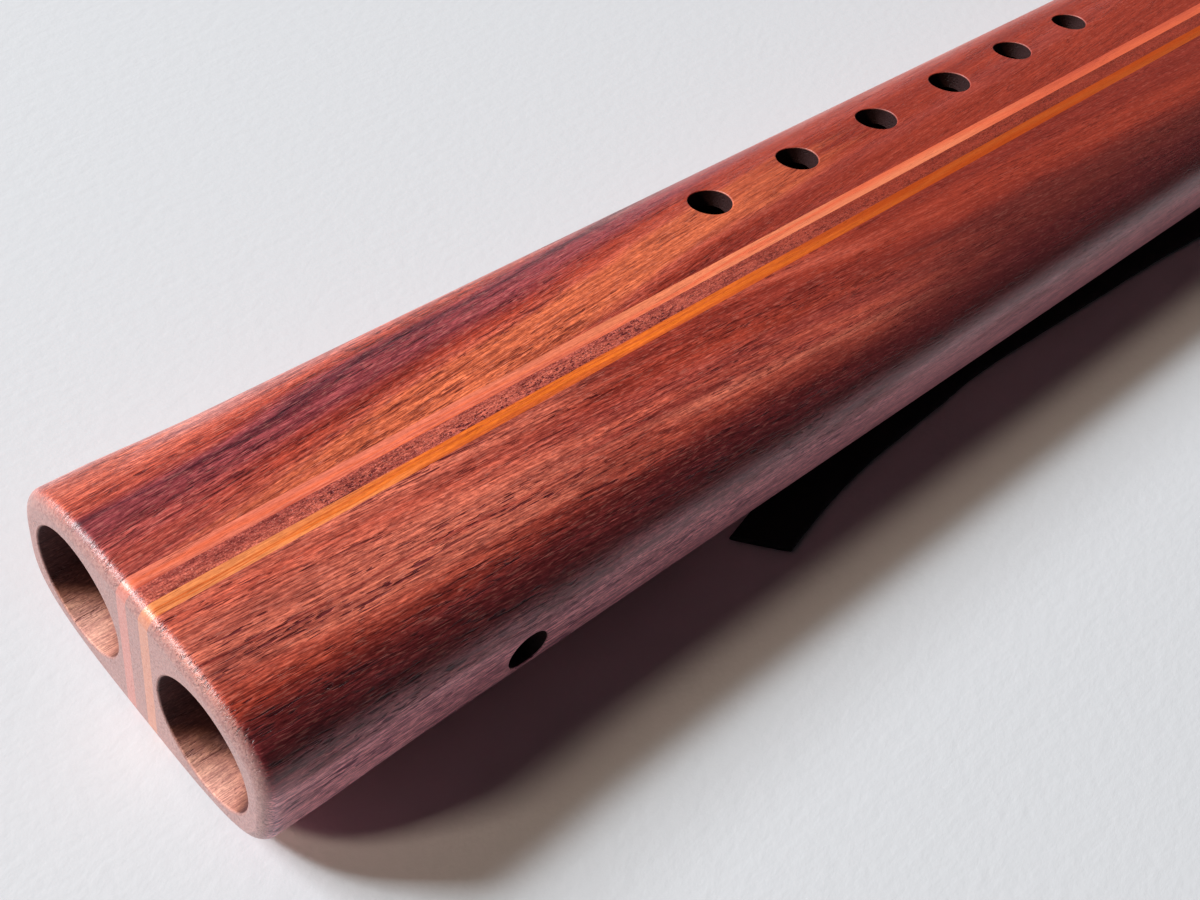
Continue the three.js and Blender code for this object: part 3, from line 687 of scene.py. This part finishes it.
def strips(colours):
    """The three narrow laminations, planed and oiled with the body: redheart and padauk have few pores and
    fine darker lines, and the core is a short-grained walnut that looks speckled."""
    red, orange, core = colours.redheart, colours.padauk, linear("#C46250")
    pale, glow, deep_red = linear("#F88468"), linear("#FF9066"), linear("#DC6046")
    amber, rust, deep = linear("#FF9A5C"), linear("#E2682C"), linear("#C44E18")
    core_edge, far_core, far_edge = linear("#B4564A"), linear("#A44030"), linear("#963C2C")
    straight = (0, 1, 0)
    coral_bands = (
        (WHOLE, straight, ((1.6, red), (2.1, pale), (2.4, deep_red), (2.8, pale), (3.3, red), (4, pale))),
        ((-225, -180), straight, ((1.6, glow), (2.6, red), (3.2, glow), (4, glow))),
        ((-90, -50), straight, ((1.6, red), (4, deep_red))),
    )
    orange_bands = (
        (WHOLE, straight, (
            (-4, rust), (-3.7, amber), (-3.3, amber), (-3.1, rust), (-2.9, amber), (-2.6, rust),
            (-2.4, amber), (-1.6, amber),
        )),
        ((-262, -220), straight, (
            (-4, rust), (-3.4, orange), (-2.8, orange), (-2.6, rust), (-2.2, orange), (-1.6, rust),
        )),
        ((-185, -110), straight, ((-4, deep), (-2.8, linear("#C85A22")), (-1.6, deep))),
    )
    core_bands = (
        (WHOLE, straight, ((-1.6, core_edge), (0, core), (1.6, core_edge))),
        ((-190, -110), straight, ((-1.6, far_edge), (0, far_core), (1.6, far_edge))),
    )
    smooth = dict(pores=0.2, flecks=0.2, fibre=0.36, relief=0.06)
    return SimpleNamespace(
        coral=wood("redheart_strip", coral_bands, oiled(end=((0.3, "#B87068"), (0.7, "#D4948A")), **smooth)),
        core=wood("walnut_core_strip", core_bands, oiled(length=0.22, fibre=1.0, flecks=1.0, pores=1.0)),
        orange=wood("padauk_strip", orange_bands, oiled(end=((0.3, "#BC7864"), (0.7, "#D69A84")), **smooth)),
    )


def place_camera():
    """The camera from which the foot, its bores and the finger holes line up with the photograph."""
    data = bpy.data.cameras.new("camera")
    data.sensor_width, data.lens = 36, 45.76
    camera = add_object("camera", data)
    right, up = Vector((0.72168, -0.67310, 0.16159)), Vector((0.43083, 0.61946, 0.65624))
    ahead = Vector((0.54181, 0.40398, -0.73705))
    turned = Matrix((right, up, -ahead)).transposed().to_4x4()
    camera.matrix_world = Matrix.Translation(Vector((-340.457, -115.214, 212.188)) * MM) @ turned
    bpy.context.scene.camera = camera


def add_lamp(name, towards, distance, size, watts, colour):
    """A square lamp seen from the flute's middle section in a direction, and turned to it."""
    data = bpy.data.lights.new(name, "AREA")
    data.size, data.energy, data.color = size, watts, colour
    lamp = add_object(name, data)
    direction = Vector(towards).normalized()
    lamp.location = Vector((-0.18, -0.02, 0)) + distance * direction
    lamp.rotation_mode = "QUATERNION"
    lamp.rotation_quaternion = direction.to_track_quat("Z", "Y")


def pale_room():
    """World: pale where the camera, a reflection or a see-through piece looks at it, and dim as light. The
    pale backdrop ends at the horizon, so a reflection from higher up is of a dim ceiling."""
    world = bpy.data.worlds.new("room")
    world.use_nodes = True
    tree = world.node_tree
    tree.nodes.clear()
    rays = add_node(tree, "ShaderNodeLightPath").outputs
    seen = rays["Is Camera Ray"]
    for kind in ("Is Glossy Ray", "Is Transmission Ray"):
        seen = add_node(tree, "ShaderNodeMath", {0: seen, 1: rays[kind]}, operation="MAXIMUM")
    towards = add_node(tree, "ShaderNodeTexCoord").outputs["Generated"]
    rise = add_node(tree, "ShaderNodeSeparateXYZ", {0: towards}).outputs["Z"]
    above = add_node(tree, "ShaderNodeMapRange", {0: rise, 1: -0.03, 2: 0.04})
    ceiling = add_node(tree, "ShaderNodeMath", {0: above, 1: rays["Is Glossy Ray"]}, operation="MULTIPLY")
    tones = {0: ceiling, 6: (*linear("#DEDFE3"), 1), 7: (*linear("#2E2E33"), 1)}
    tone = add_node(tree, "ShaderNodeMix", tones, **COLOURS_MIXED)
    dim = add_node(tree, "ShaderNodeBackground", {"Color": (*linear("#E8EAF0"), 1), "Strength": 0.012})
    pale = add_node(tree, "ShaderNodeBackground", {"Color": tone, "Strength": 1.0})
    both = add_node(tree, "ShaderNodeMixShader", {0: seen, 1: dim, 2: pale})
    add_node(tree, "ShaderNodeOutputWorld", {"Surface": both})
    return world


class FLUTE_OT_stage(bpy.types.Operator):
    """Camera, floor, lamps and world"""

    bl_idname = "flute.stage"
    bl_label = "Camera and Stage"

    def execute(self, context):
        place_camera()
        reach = 1.2
        corners = reach * np.array([(-1, -1, 0), (1, -1, 0), (1, 1, 0), (-1, 1, 0)])
        mesh = bpy.data.meshes.new("floor")
        mesh.from_pydata(corners, [], [(0, 1, 2, 3)])
        mesh.materials.append(floor_material(context.scene.flute_colours))
        add_object("floor", mesh)
        add_lamp("warm_lamp", (-1.5, 0.54, 1), 6.0, 0.9, 136, (1, 0.79, 0.61))
        add_lamp("window", (-0.95, 0.9, 1), 6.0, 0.72, 240, (0.88, 0.97, 1))
        add_lamp("sky", (-0.75, 1.16, 1), 6.0, 1.7, 246, (0.92, 0.95, 1))
        context.scene.world = pale_room()
        context.scene.view_settings.view_transform = "Standard"
        return {"FINISHED"}


def catmull_rom(points, samples):
    """Centripetal Catmull-Rom curve: between two points it is the cubic whose end slopes come from their
    neighbours, with each gap weighed by its square root. A point mirrored past each end stands for the
    missing neighbour."""
    p = np.vstack([2 * points[0] - points[1], points, 2 * points[-1] - points[-2]])
    gap = np.linalg.norm(np.diff(p, axis=0), axis=1)[:, None] ** 0.5
    before, here, after = gap[:-2], gap[1:-1], gap[2:]
    a, b, c, d = p[:-3], p[1:-2], p[2:-1], p[3:]
    leave = here * ((b - a) / before - (c - a) / (before + here) + (c - b) / here)
    arrive = here * ((c - b) / here - (d - b) / (here + after) + (d - c) / after)
    t = np.linspace(0, 1, samples, endpoint=False)[None, :, None]
    curve = (2 * t**3 - 3 * t**2 + 1) * b[:, None] + (t**3 - 2 * t**2 + t) * leave[:, None]
    curve += (3 * t**2 - 2 * t**3) * c[:, None] + (t**3 - t**2) * arrive[:, None]
    return np.vstack([curve.reshape(-1, 3), points[-1:]])


def lengths_along(path):
    """Length of the path up to each of its points: the sum of the gaps before it."""
    return np.concatenate([[0], np.cumsum(np.linalg.norm(np.diff(path, axis=0), axis=1))])


def evenly(path, count):
    """The path's points spaced evenly along its length."""
    along = lengths_along(path)
    wanted = np.linspace(0, along[-1], count)
    return np.stack([np.interp(wanted, along, path[:, axis]) for axis in range(3)], -1)


def unit(vectors):
    """Each vector divided by its length."""
    return vectors / np.linalg.norm(vectors, axis=-1, keepdims=True)


def knot_path(sizes, place):
    """Overhand knot: at angle a, x is cos a - 2.4 cos 2a, z is sin a + 2.4 sin 2a and y is sin 3a, each
    times its own size. The first point is where the tail leaves it."""
    half_depth = 2.8 * MM
    flank = -sizes.body_width / 2 - place.seat - sizes.strap_thickness
    middle_y = flank - half_depth - sizes.knot_strand / 2 - place.seat
    middle = np.array([place.tie_start - place.overshoot, middle_y, place.centre])
    angle = 2 * np.pi * np.linspace(0.05, 0.95, 41) + np.pi
    x = np.cos(angle) - 2.4 * np.cos(2 * angle)
    z = np.sin(angle) + 2.4 * np.sin(2 * angle)
    strand = middle + np.stack([2.3 * MM * x, half_depth * np.sin(3 * angle), 2.3 * MM * z], -1)
    way_out = np.array([middle[0] - 11 * MM, strand[0, 1], middle[2] - 1.5 * MM])
    return catmull_rom(np.vstack([way_out, strand]), 24)


def tail_path(sizes, place):
    """The tail starts just clear of the knot, leads straight out of it, and then follows its route to its
    cut end."""
    knot = knot_path(sizes, place)
    heading = unit(knot[0] - knot[1])
    start = knot[0] + place.seat * heading
    lead = start + 8 * MM * heading
    return catmull_rom(np.vstack([start, lead, np.array(TAIL_ROUTE) * MM]), 24)


class FLUTE_OT_tail(bpy.types.Operator):
    """Free tail of the leather tie"""

    bl_idname = "flute.tail"
    bl_label = "Tie's Tail"

    def execute(self, context):
        sizes = context.scene.flute_sizes
        place = layout(sizes)
        route = tail_path(sizes, place)
        length = lengths_along(route)[-1]
        path = evenly(route, 420)
        gone = np.linspace(0, length, len(path))
        along = unit(np.gradient(path, axis=0))
        side = unit(np.cross(along, (0, 0, 1)))
        up = np.cross(side, along)
        spread = smoothstep(gone, 0, 26 * MM)
        turned = (np.pi / 2 * smoothstep(gone, 0, 46 * MM))[:, None]
        across = up * np.cos(turned) + side * np.sin(turned)
        facing = np.cross(along, across)
        frayed = 0.06 * MM * (np.sin(gone * 410) + 0.6 * np.sin(gone * 1130 + 1))
        width = sizes.knot_strand + (sizes.strap_width - sizes.knot_strand) * spread + frayed * spread
        depth = sizes.knot_strand + (sizes.strap_thickness - sizes.knot_strand) * spread
        slant = 2.6 * MM * smoothstep(gone, length - 5 * MM, length)
        angle = np.linspace(0, 2 * np.pi, 40, endpoint=False)
        u, v = superellipse(angle, 1, 1, 0.42)
        grid = (
            path[:, None]
            + across[:, None] * (u * width[:, None])[..., None]
            + facing[:, None] * (v * depth[:, None])[..., None]
            + along[:, None] * (2 * u * slant[:, None])[..., None]
        )
        tail = shade(shell("tail_suede", grid), 50)
        dress(tail, suede_material(context.scene.flute_colours))
        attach(tail, "bird")
        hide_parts("tie_tail")
        return {"FINISHED"}


def body_blank(sizes, place):
    """Outer form: superellipse sections whose width and height follow the foot's quarter circle, stay even,
    ease by a half cosine into the mouthpiece, and end in its quarter circle."""
    turn = np.linspace(0, np.pi / 2, 14)
    rounding = sizes.foot_rounding
    foot_x = place.foot + rounding * (1 - np.cos(turn))
    foot_inset = 2 * rounding * (1 - np.sin(turn))
    start = place.mouth - sizes.mouthpiece
    straight_x = np.linspace(foot_x[-1], start, 60)[1:-1]
    lip = 3 * MM
    share = np.linspace(0, 1, 40, endpoint=False)
    taper_x = start + (sizes.mouthpiece - lip) * share
    ease = (1 - np.cos(np.pi * share)) / 2
    lip_x = place.mouth - lip * (1 - np.sin(turn))
    lip_inset = 2 * lip * (1 - np.cos(turn))
    even = np.zeros(len(straight_x))
    x = np.concatenate([foot_x, straight_x, taper_x, lip_x])
    width_loss, height_loss = sizes.body_width - sizes.mouth_width, sizes.body_height - sizes.mouth_height
    narrower = np.concatenate([foot_inset, even, width_loss * ease, width_loss + lip_inset])
    lower = np.concatenate([foot_inset, even, height_loss * ease, height_loss + lip_inset])
    angle = np.linspace(0, 2 * np.pi, 280, endpoint=False)
    fuller = 0.36 * (1 - smoothstep(x, place.foot + 10 * MM, place.foot + 26 * MM))
    power = 2 / (3 + fuller[:, None])
    width, height = sizes.body_width - narrower, sizes.body_height - lower
    y, z = superellipse(angle, width[:, None], height[:, None], power)
    return shell("blank", np.stack([np.broadcast_to(x[:, None], y.shape), y, place.centre + z], -1))


def voice_cutters(sizes, place, side):
    """Sound bore, slow air chamber, breath hole, window, ramp, flue and feed slot of the voice on one
    side."""
    radius, y = sizes.bore / 2, side * place.bore_y
    low, high, top = y - place.flue_half, y + place.flue_half, place.top
    floor_z = place.centre + radius / 2
    over = place.overrun
    edge_z = place.nest_z - 0.5 * MM
    ramp_top = place.edge - 1.9 * MM * (top - edge_z) / (0.5 * MM)
    angle = np.linspace(0, 2 * np.pi, 128, endpoint=False)
    ring = np.stack([0 * angle, y + radius * np.cos(angle), place.centre + radius * np.sin(angle)], -1)
    chamber = np.stack([ring + (x, 0, 0) for x in (place.slow, place.slow_end)])
    bore = rimmed_hole(
        "bore", (y, place.centre), radius, sizes.bore_rim, -place.plug,
        lambda u, v: np.full_like(u, -place.foot), lambda u, v, w: (-w, u, v), 128, rim_rows=8,
    )
    breath = rimmed_hole(
        "breath", (side * 12 * MM, place.centre), sizes.breath_hole / 2, 0.6 * MM, place.slow_end - over,
        lambda u, v: np.full_like(u, place.mouth), lambda u, v, w: (w, u, v), 64,
    )
    return [
        bore,
        shell("chamber", chamber, inner_rows=(0,)),
        breath,
        block("window", (place.edge, low, floor_z), (place.plug, high, top)),
        block("feed", (place.slow, low, floor_z), (place.slow + 8 * MM, high, top)),
        block("flue", (place.plug - over, low, place.nest_z - 0.9 * MM), (place.slow + over, high, top)),
        prism("ramp", ((place.edge, edge_z), (place.edge, top), (ramp_top, top)), low, high),
    ]


def hole_cutters(sizes, place):
    """Finger holes through the top, and the drone's tuning hole through its flank."""
    half_width, half_height = sizes.body_width / 2, sizes.body_height / 2

    def top_skin(x, y):
        """Centre plus half height times the cube root of 1 minus the cube of the size of y over half
        width."""
        return place.centre + half_height * (1 - np.abs(y / half_width) ** 3) ** (1 / 3)

    def flank_skin(x, z):
        """Half width times the cube root of 1 minus the cube of the size of z above centre over half
        height."""
        return half_width * (1 - np.abs((z - place.centre) / half_height) ** 3) ** (1 / 3)

    cutters = []
    for share, size_share in zip(HOLE_PLACE_SHARES, HOLE_SIZE_SHARES):
        middle = (place.foot + SOUND_CHAMBER * share, place.bore_y + 1.1 * MM)
        radius = sizes.finger_hole * size_share / 2
        inner = place.centre + sizes.bore / 4
        hole = ("finger", middle, radius, sizes.hole_rim, inner, top_skin)
        cutters.append(rimmed_hole(*hole, lambda u, v, w: (u, v, w), kind=2))
    middle = (place.foot + 48.5 * MM, place.centre - 1.2 * MM)
    inner = place.bore_y + sizes.bore / 4
    hole = ("tuning", middle, sizes.tuning_hole / 2, sizes.hole_rim, inner, flank_skin)
    cutters.append(rimmed_hole(*hole, lambda u, v, w: (u, -w, v), kind=2))
    return cutters


class FLUTE_OT_body(bpy.types.Operator):
    """Laminated body: planks and strips, each in an upper and a lower half"""

    bl_idname = "flute.body"
    bl_label = "Body"

    def execute(self, context):
        sizes, colours = context.scene.flute_sizes, context.scene.flute_colours
        place = layout(sizes)
        nest = (
            (place.nest_front, place.nest_z), (place.nest_rear, place.nest_z),
            (place.nest_rear + 6 * MM, place.top), (place.nest_front, place.top),
        )
        wide = sizes.body_width / 2 + place.overrun
        cutters = voice_cutters(sizes, place, 1) + voice_cutters(sizes, place, -1)
        cutters += hole_cutters(sizes, place)
        cutters.append(prism("nest", nest, -wide, wide))
        body = combine(body_blank(sizes, place), cutters, "DIFFERENCE")
        walnut, strip = walnuts(colours), strips(colours)
        core = sizes.core_strip / 2
        bright = core + sizes.side_strip
        laminations = (
            ("melody_plank", bright, wide, walnut.melody, "red_brown_wood"),
            ("coral_strip", core, bright, strip.coral, "coral_wood"),
            ("core_strip", -core, core, strip.core, "dark_core_wood"),
            ("orange_strip", -bright, -core, strip.orange, "orange_wood"),
            ("drone_plank", -wide, -bright, walnut.drone, "red_brown_wood"),
        )
        ends = (place.foot - place.overrun, place.mouth + place.overrun)
        under = place.centre - sizes.body_height
        halves = (("upper", place.centre, place.top), ("lower", under, place.centre))
        for lamination, low, high, material, slot in laminations:
            for half, floor_z, top_z in halves:
                piece = add_object(f"{lamination}_{half}_oiled", body.data.copy())
                combine(piece, [block("slice", (ends[0], low, floor_z), (ends[1], high, top_z))], "INTERSECT")
                dress(piece, material, walnut.bored, walnut.near_black_hole_wall)
                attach(shade(piece), "flute")
                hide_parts(f"{lamination}_{half}")
        bpy.data.objects.remove(body)
        return {"FINISHED"}


def monotone(x, knots, values):
    """Curve through the knots that never overshoots: cubics whose slope at a knot is the harmonic mean of
    the slopes on its two sides, or none where they differ in sign."""
    steps = np.diff(knots)
    rise = np.diff(values) / steps
    product = rise[:-1] * rise[1:]
    total = np.where(product > 0, rise[:-1] + rise[1:], 1)
    slope = np.concatenate([rise[:1], np.where(product > 0, 2 * product / total, 0), rise[-1:]])
    number = np.clip(np.searchsorted(knots, x) - 1, 0, len(steps) - 1)
    step = steps[number]
    t = (x - knots[number]) / step
    return (
        (2 * t**3 - 3 * t**2 + 1) * values[number] + (t**3 - 2 * t**2 + t) * step * slope[number]
        + (3 * t**2 - 2 * t**3) * values[number + 1] + (t**3 - t**2) * step * slope[number + 1]
    )


class FLUTE_OT_bird(bpy.types.Operator):
    """Carved bird over both flues"""

    bl_idname = "flute.bird"
    bl_label = "Bird"

    def execute(self, context):
        sizes = context.scene.flute_sizes
        place = layout(sizes)
        nose_height, tail_height, saddle_height = 15 * MM, 12.5 * MM, 9.5 * MM
        nose, tail = place.saddle_start - place.bird_front, place.bird_rear - place.saddle_end
        front, rear = place.bird_front, place.saddle_end
        rings = [(front + nose * along, nose_height * high, wide) for along, high, wide in NOSE_SHARES]
        rings.append((place.saddle_start - MM, saddle_height + (nose_height - saddle_height) / 4, 1))
        rings.append((place.saddle_start, saddle_height, 1))
        rings.append((place.saddle_end, saddle_height, 1))
        rings.append((place.saddle_end + MM, (saddle_height + tail_height) / 2, 1))
        rings += [(rear + tail * along, tail_height * high, wide) for along, high, wide in TAIL_SHARES]
        knots, heights, widths = np.array(rings).T
        x = np.unique(np.concatenate([np.linspace(knots[0], knots[-1], 150), knots]))
        height = monotone(x, knots, heights)[:, None]
        width = monotone(x, knots, widths)[:, None] * sizes.bird_width
        y, z = superellipse(np.linspace(0, np.pi, 121), width, 2 * height)
        z = np.maximum(z, 0)
        bird = shell("bird_carved", np.stack([np.broadcast_to(x[:, None], y.shape), y, place.nest_z + z], -1))
        chimneys = []
        for side in (1, -1):
            half = place.flue_half + MM
            middle = side * place.bore_y
            low = (place.bird_front - place.overrun, middle - half, place.nest_z - place.overrun)
            high = (place.plug, middle + half, place.nest_z + nose_height + place.overrun)
            chimneys.append(block("chimney", low, high))
        combine(bird, chimneys, "DIFFERENCE")
        bevel = bird.modifiers.new("eased_edges", "BEVEL")
        bevel.width, bevel.segments = 0.35 * MM, 3
        bevel.limit_method, bevel.angle_limit = "ANGLE", math.radians(40)
        settle(bird)
        dress(bird, bpy.data.materials["black_walnut_bird"])
        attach(shade(bird), "bird")
        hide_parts("bird_block")
        return {"FINISHED"}


def girdle(sizes, place, count):
    """Outline that the tie follows round body and bird. In each outward direction it has the point of both
    sections that lies furthest that way. Gives points and outward directions in Y and Z, evenly along it,
    from the drone flank under the body to the melody flank, over the bird and back."""
    angle = np.linspace(0, 2 * np.pi, 1440, endpoint=False)
    body_y, body_z = superellipse(angle, sizes.body_width, sizes.body_height)
    arch_y, arch_z = superellipse(angle[: len(angle) // 2], sizes.bird_width, 19 * MM)
    body = np.stack([body_y, place.centre + body_z], -1)
    points = np.vstack([body, np.stack([arch_y, place.nest_z + arch_z], -1)])
    heading = np.linspace(np.pi, 3 * np.pi, 2881)
    outward = np.stack([np.cos(heading), np.sin(heading)], -1)
    furthest = points[np.argmax(outward @ points.T, axis=1)]
    along = lengths_along(furthest)
    wanted = np.linspace(0, along[-1], count, endpoint=False)
    kept = np.concatenate([[True], np.diff(along) > 1e-9])
    turned = np.interp(wanted, along[kept], heading[kept])
    line = np.stack([np.interp(wanted, along[kept], furthest[kept, axis]) for axis in range(2)], -1)
    return line, np.stack([np.cos(turned), np.sin(turned)], -1)


class FLUTE_OT_tie(bpy.types.Operator):
    """Leather tie: its turns round body and bird, and its knot"""

    bl_idname = "flute.tie"
    bl_label = "Leather Tie"

    def execute(self, context):
        sizes = context.scene.flute_sizes
        place = layout(sizes)
        suede = bpy.data.materials["black_suede_leather"]
        count = 300
        line, outward = girdle(sizes, place, count)
        turned = np.arange(TIE_TURNS * count) / count
        shown = (turned >= TIE_HIDDEN_TURN) & (turned <= TIE_TURNS - TIE_HIDDEN_TURN)
        turned = turned[shown]
        line, outward = (np.tile(each, (TIE_TURNS, 1))[shown] for each in (line, outward))
        back = smoothstep(turned, CLIMB_TURNS[1], DESCENT_TURNS[0])
        forth = place.pitch * np.minimum(turned, CLIMB_TURNS[1])
        x = place.tie_start + forth * (1 - back) - place.overshoot * back
        climb = smoothstep(turned, *CLIMB_TURNS) - smoothstep(turned, *DESCENT_TURNS)
        lift = place.seat + climb * (sizes.strap_thickness + 0.5 * MM)
        angle = np.linspace(0, 2 * np.pi, 40, endpoint=False)
        u, v = superellipse(angle, 1, 1, 0.36)
        frayed = 1 + 0.012 * (np.sin(turned * 47) + 0.6 * np.sin(turned * 131 + 2))
        across = x[:, None] + u * (sizes.strap_width * frayed)[:, None]
        height = lift[:, None] + sizes.strap_thickness * (v + 0.5)
        flat = line[:, None] + outward[:, None] * height[..., None]
        grid = np.concatenate([across[..., None], flat], -1)
        wrap = shade(shell("tie_wound", grid), 50)
        path = evenly(knot_path(sizes, place), 460)
        along = unit(np.gradient(path, axis=0))
        side = unit(np.cross(along, (0, 1, 0)))
        up = np.cross(side, along)
        gone = np.linspace(0, 1, len(path))[:, None]
        angle = np.linspace(0, 2 * np.pi, 36, endpoint=False)
        folds = 0.05 * np.cos(3 * angle + 5 * gone) + 0.035 * np.cos(7 * angle - 9 * gone)
        radius = sizes.knot_strand / 2 * (1 + folds)
        round_it = side[:, None] * np.cos(angle)[:, None] + up[:, None] * np.sin(angle)[:, None]
        knot = shade(shell("knot_tied", path[:, None] + round_it * radius[..., None]), 50)
        for piece, node in ((wrap, "tie_wrap"), (knot, "tie_knot")):
            dress(piece, suede)
            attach(piece, "bird")
            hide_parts(node)
        return {"FINISHED"}


class FLUTE_PT_sidebar(bpy.types.Panel):
    """Lists the flute's sizes, colours and parts"""

    bl_label = "Drone Flute"
    bl_idname = "FLUTE_PT_sidebar"
    bl_space_type = "VIEW_3D"
    bl_region_type = "UI"
    bl_category = "Flute"

    def draw(self, context):
        for group in (context.scene.flute_sizes, context.scene.flute_colours):
            for name in group.__annotations__:
                self.layout.prop(group, name)
        for operator in OPERATORS:
            self.layout.operator(operator.bl_idname)


OPERATORS = (FLUTE_OT_stage, FLUTE_OT_tail, FLUTE_OT_body, FLUTE_OT_bird, FLUTE_OT_tie)
CLASSES = (FluteSizes, FluteColours, *OPERATORS, FLUTE_PT_sidebar)


def register():
    """Registers the classes and hangs the two groups of settings on the scene."""
    for each in CLASSES:
        bpy.utils.register_class(each)
    bpy.types.Scene.flute_sizes = PointerProperty(type=FluteSizes)
    bpy.types.Scene.flute_colours = PointerProperty(type=FluteColours)


def unregister():
    """Takes back what register has done, in reverse order."""
    del bpy.types.Scene.flute_colours
    del bpy.types.Scene.flute_sizes
    for each in reversed(CLASSES):
        bpy.utils.unregister_class(each)


def main():
    """Builds the flute by calling the operators in order."""
    register()
    bpy.ops.flute.stage()
    bpy.ops.flute.tail()
    bpy.ops.flute.body()
    bpy.ops.flute.bird()
    bpy.ops.flute.tie()


if __name__ == "__main__":
    main()
